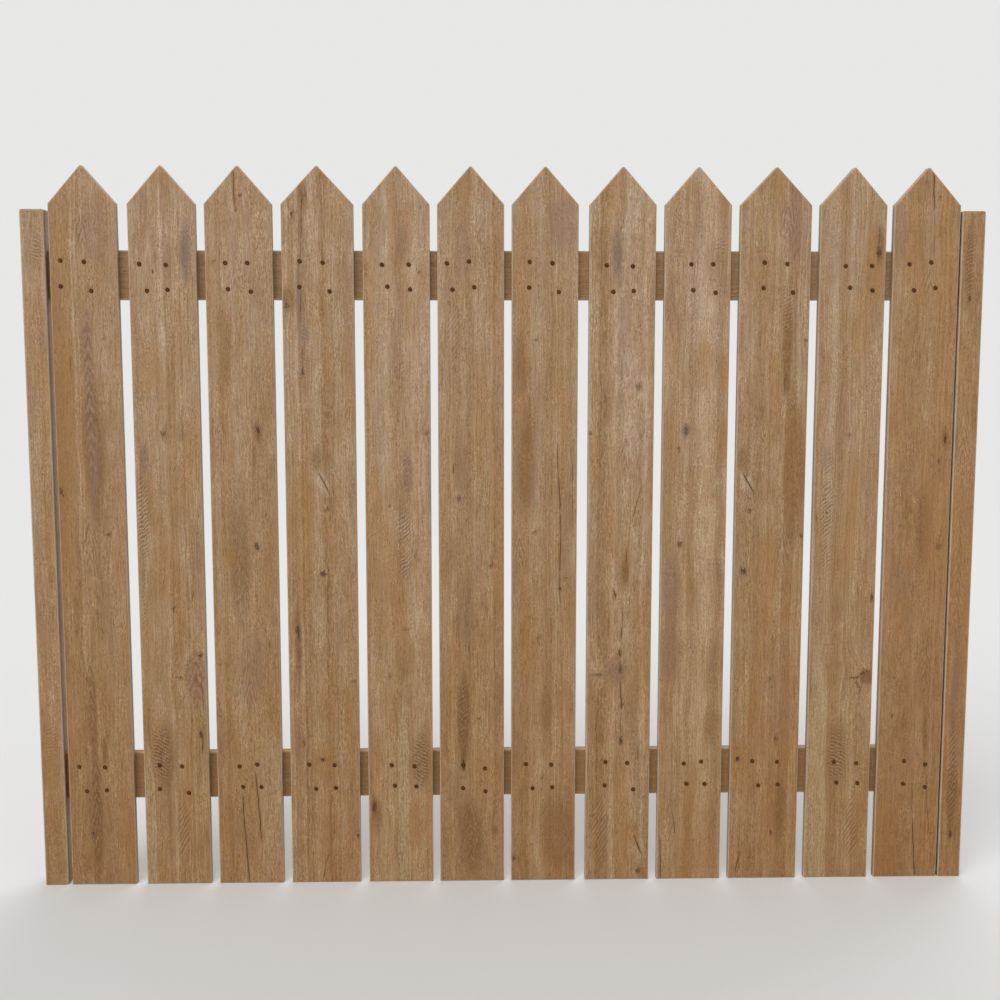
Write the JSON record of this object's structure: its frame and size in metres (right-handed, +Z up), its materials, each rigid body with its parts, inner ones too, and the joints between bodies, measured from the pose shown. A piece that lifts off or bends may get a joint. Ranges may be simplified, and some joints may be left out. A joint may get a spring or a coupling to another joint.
{
  "type": "wooden picket fence panel",
  "caption": "Wooden garden fence panel: pointed upright boards nailed to two horizontal rails that run between square flat-topped end posts.",
  "frame": {"origin": "centre of the left post's foot, at ground level", "axes": "+Z up, +X along the fence from the left post to the right post as seen from the boarded front, +Y from the boarded front to the back"},
  "size_m": [1.8, 0.045, 1.3769],
  "materials": {
    "boards": "sawn oak, oiled, matt",
    "rails": "sawn oak, oiled, matt",
    "posts": "sawn oak, oiled, matt"
  },
  "bodies": {
    "root": {"picket_01": "boards", "picket_02": "boards", "picket_03": "boards", "picket_04": "boards", "picket_05": "boards", "picket_06": "boards", "picket_07": "boards", "picket_08": "boards", "picket_09": "boards", "picket_10": "boards", "picket_11": "boards", "picket_12": "boards", "upper_rail": "rails", "lower_rail": "rails", "left_post": "posts", "right_post": "posts"}
  },
  "joints": []
}
